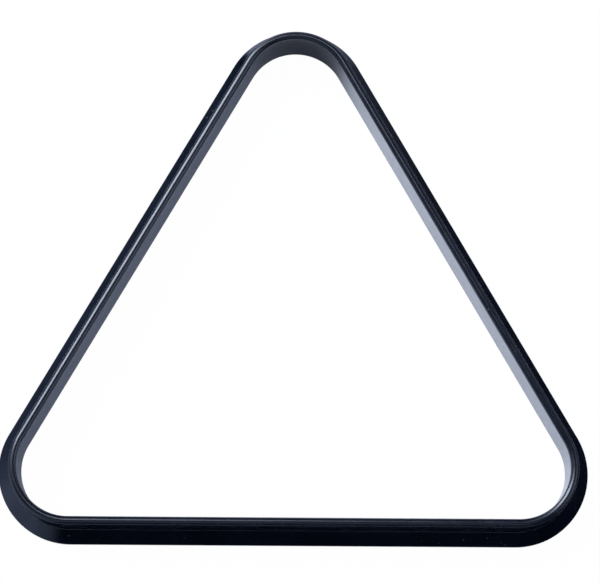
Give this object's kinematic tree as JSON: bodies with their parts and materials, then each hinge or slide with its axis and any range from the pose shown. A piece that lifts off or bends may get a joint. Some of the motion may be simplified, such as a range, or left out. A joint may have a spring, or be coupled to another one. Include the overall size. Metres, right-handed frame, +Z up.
{
  "type": "triangle rack",
  "caption": "Rounded triangular billiard ball rack, a low plastic frame with an upright wall, a rounded and bevelled crest and a sloping foot, open in the middle and hollow under the foot.",
  "frame": {"origin": "on the table under the middle of the rack's overall width and depth", "axes": "+Z up from the table, +Y towards the apex corner, +X to the right of the apex as seen from above with the apex away from the viewer"},
  "size_m": [0.3146, 0.283, 0.0305],
  "materials": {
    "black_gloss": "glossy moulded plastic, lightly scuffed"
  },
  "bodies": {
    "root": {"rack_moulding": "black_gloss"}
  },
  "joints": []
}
